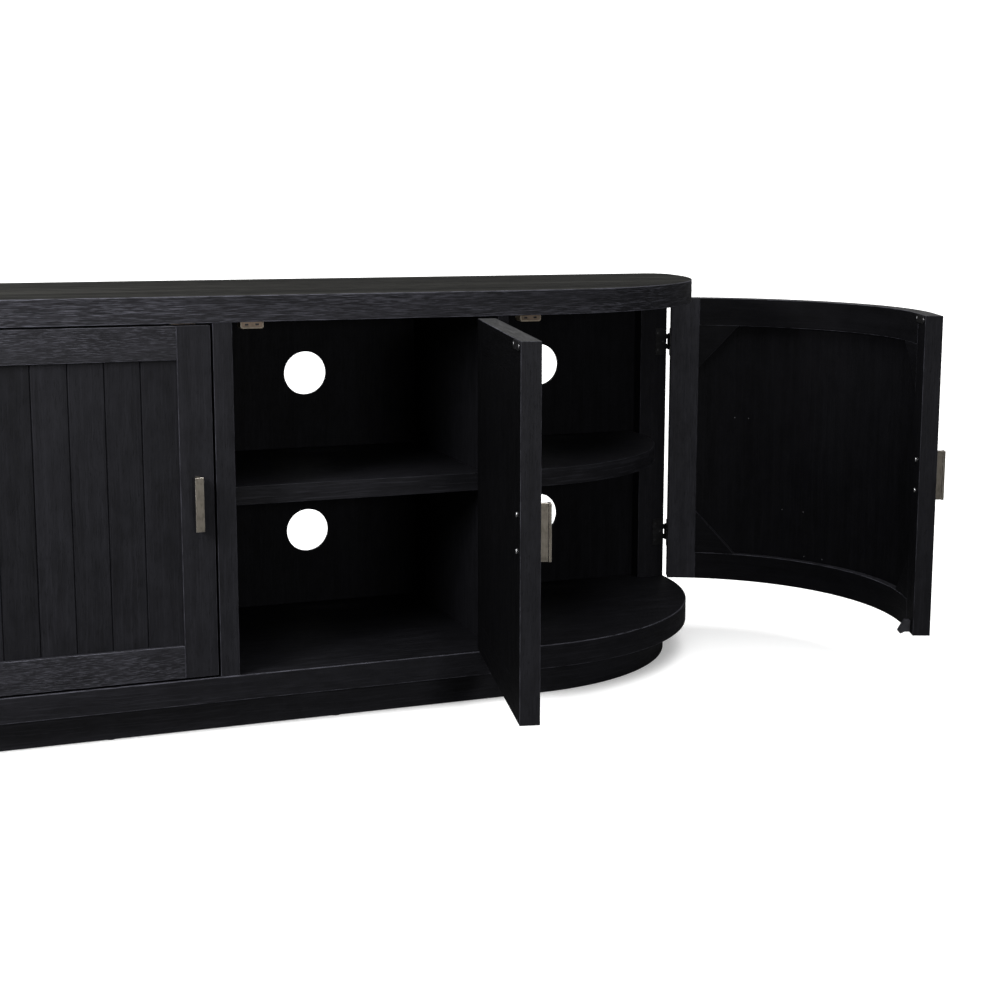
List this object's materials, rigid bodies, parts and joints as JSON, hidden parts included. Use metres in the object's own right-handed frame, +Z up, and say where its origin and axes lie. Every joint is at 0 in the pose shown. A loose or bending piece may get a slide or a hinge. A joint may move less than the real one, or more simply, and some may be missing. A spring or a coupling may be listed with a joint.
{
  "type": "media cabinet",
  "caption": "Low media cabinet with rounded ends, planked swing doors, curved end doors, inner shelves, cable holes in the back and a recessed plinth.",
  "frame": {"origin": "on the floor, at the middle of the length and of the depth of the top", "axes": "+X along the length to the right end seen from the front, -Y to the front, +Z up"},
  "size_m": [2.4032, 0.9629, 0.762],
  "materials": {
    "black_oak": "brushed, open-grained, black stained, satin",
    "black_board": "plain black board, matt",
    "pewter_metal": "warm pewter, satin",
    "bright_steel": "bright, satin",
    "grey_steel": "dull zinc",
    "black_steel": "black, satin",
    "catch_plastic": "brown moulded, matt",
    "glide_nylon": "black nylon, matt"
  },
  "bodies": {
    "cabinet": {"back_panel_inner_left": "black_board", "back_panel_inner_right": "black_board", "back_panel_outer_left": "black_board", "back_panel_outer_right": "black_board", "bottom_slab": "black_oak", "centre_divider": "black_oak", "centre_post": "black_oak", "divider_left": "black_oak", "divider_right": "black_oak", "floor_glides": "glide_nylon", "hinge_frame_leaves": "black_steel", "hinge_pins": "black_steel", "magnetic_catches": "catch_plastic", "plinth_back": "black_board", "plinth_braces": "black_board", "plinth_skirt": "black_oak", "rear_post_left": "black_oak", "rear_post_right": "black_oak", "shelf_end_left": "black_oak", "shelf_end_right": "black_oak", "shelf_flat_left": "black_oak", "shelf_flat_right": "black_oak", "shelf_pins": "grey_steel", "top_slab": "black_oak"},
    "door_left": {"door_left_free_stile": "black_oak", "door_left_handle": "pewter_metal", "door_left_handle_screws": "bright_steel", "door_left_hinge_leaves": "black_steel", "door_left_hinge_stile": "black_oak", "door_left_plank_panel": "black_oak", "door_left_rails": "black_oak", "door_left_strike_plate": "bright_steel"},
    "door_right": {"door_right_free_stile": "black_oak", "door_right_handle": "pewter_metal", "door_right_handle_screws": "bright_steel", "door_right_hinge_leaves": "black_steel", "door_right_hinge_stile": "black_oak", "door_right_plank_panel": "black_oak", "door_right_rails": "black_oak", "door_right_strike_plate": "bright_steel"},
    "end_door_left": {"end_door_left_free_stile": "black_oak", "end_door_left_gussets": "black_oak", "end_door_left_handle": "pewter_metal", "end_door_left_handle_screws": "bright_steel", "end_door_left_hinge_leaves": "black_steel", "end_door_left_hinge_stile": "black_oak", "end_door_left_plank_panel": "black_oak", "end_door_left_rails": "black_oak", "end_door_left_stop_lug": "glide_nylon", "end_door_left_strike_plate": "bright_steel"},
    "end_door_right": {"end_door_right_free_stile": "black_oak", "end_door_right_gussets": "black_oak", "end_door_right_handle": "pewter_metal", "end_door_right_handle_screws": "bright_steel", "end_door_right_hinge_leaves": "black_steel", "end_door_right_hinge_stile": "black_oak", "end_door_right_plank_panel": "black_oak", "end_door_right_rails": "black_oak", "end_door_right_stop_lug": "glide_nylon", "end_door_right_strike_plate": "bright_steel"}
  },
  "joints": [
    {"name": "door_left_hinge", "type": "hinge", "parent": "cabinet", "child": "door_left", "pos_m": [-0.492, -0.2525, 0.4115], "axis": [0, 0, 1], "range_deg": [-110, 0]},
    {"name": "door_right_hinge", "type": "hinge", "parent": "cabinet", "child": "door_right", "pos_m": [0.492, -0.2525, 0.4115], "axis": [0, 0, 1], "range_deg": [-78, 32]},
    {"name": "end_door_left_hinge", "type": "hinge", "parent": "cabinet", "child": "end_door_left", "pos_m": [-1.0545, 0.205, 0.4115], "axis": [0, 0, 1], "range_deg": [-110, 0]},
    {"name": "end_door_right_hinge", "type": "hinge", "parent": "cabinet", "child": "end_door_right", "pos_m": [1.0545, 0.205, 0.4115], "axis": [0, 0, 1], "range_deg": [-69.2, 40.8]}
  ]
}
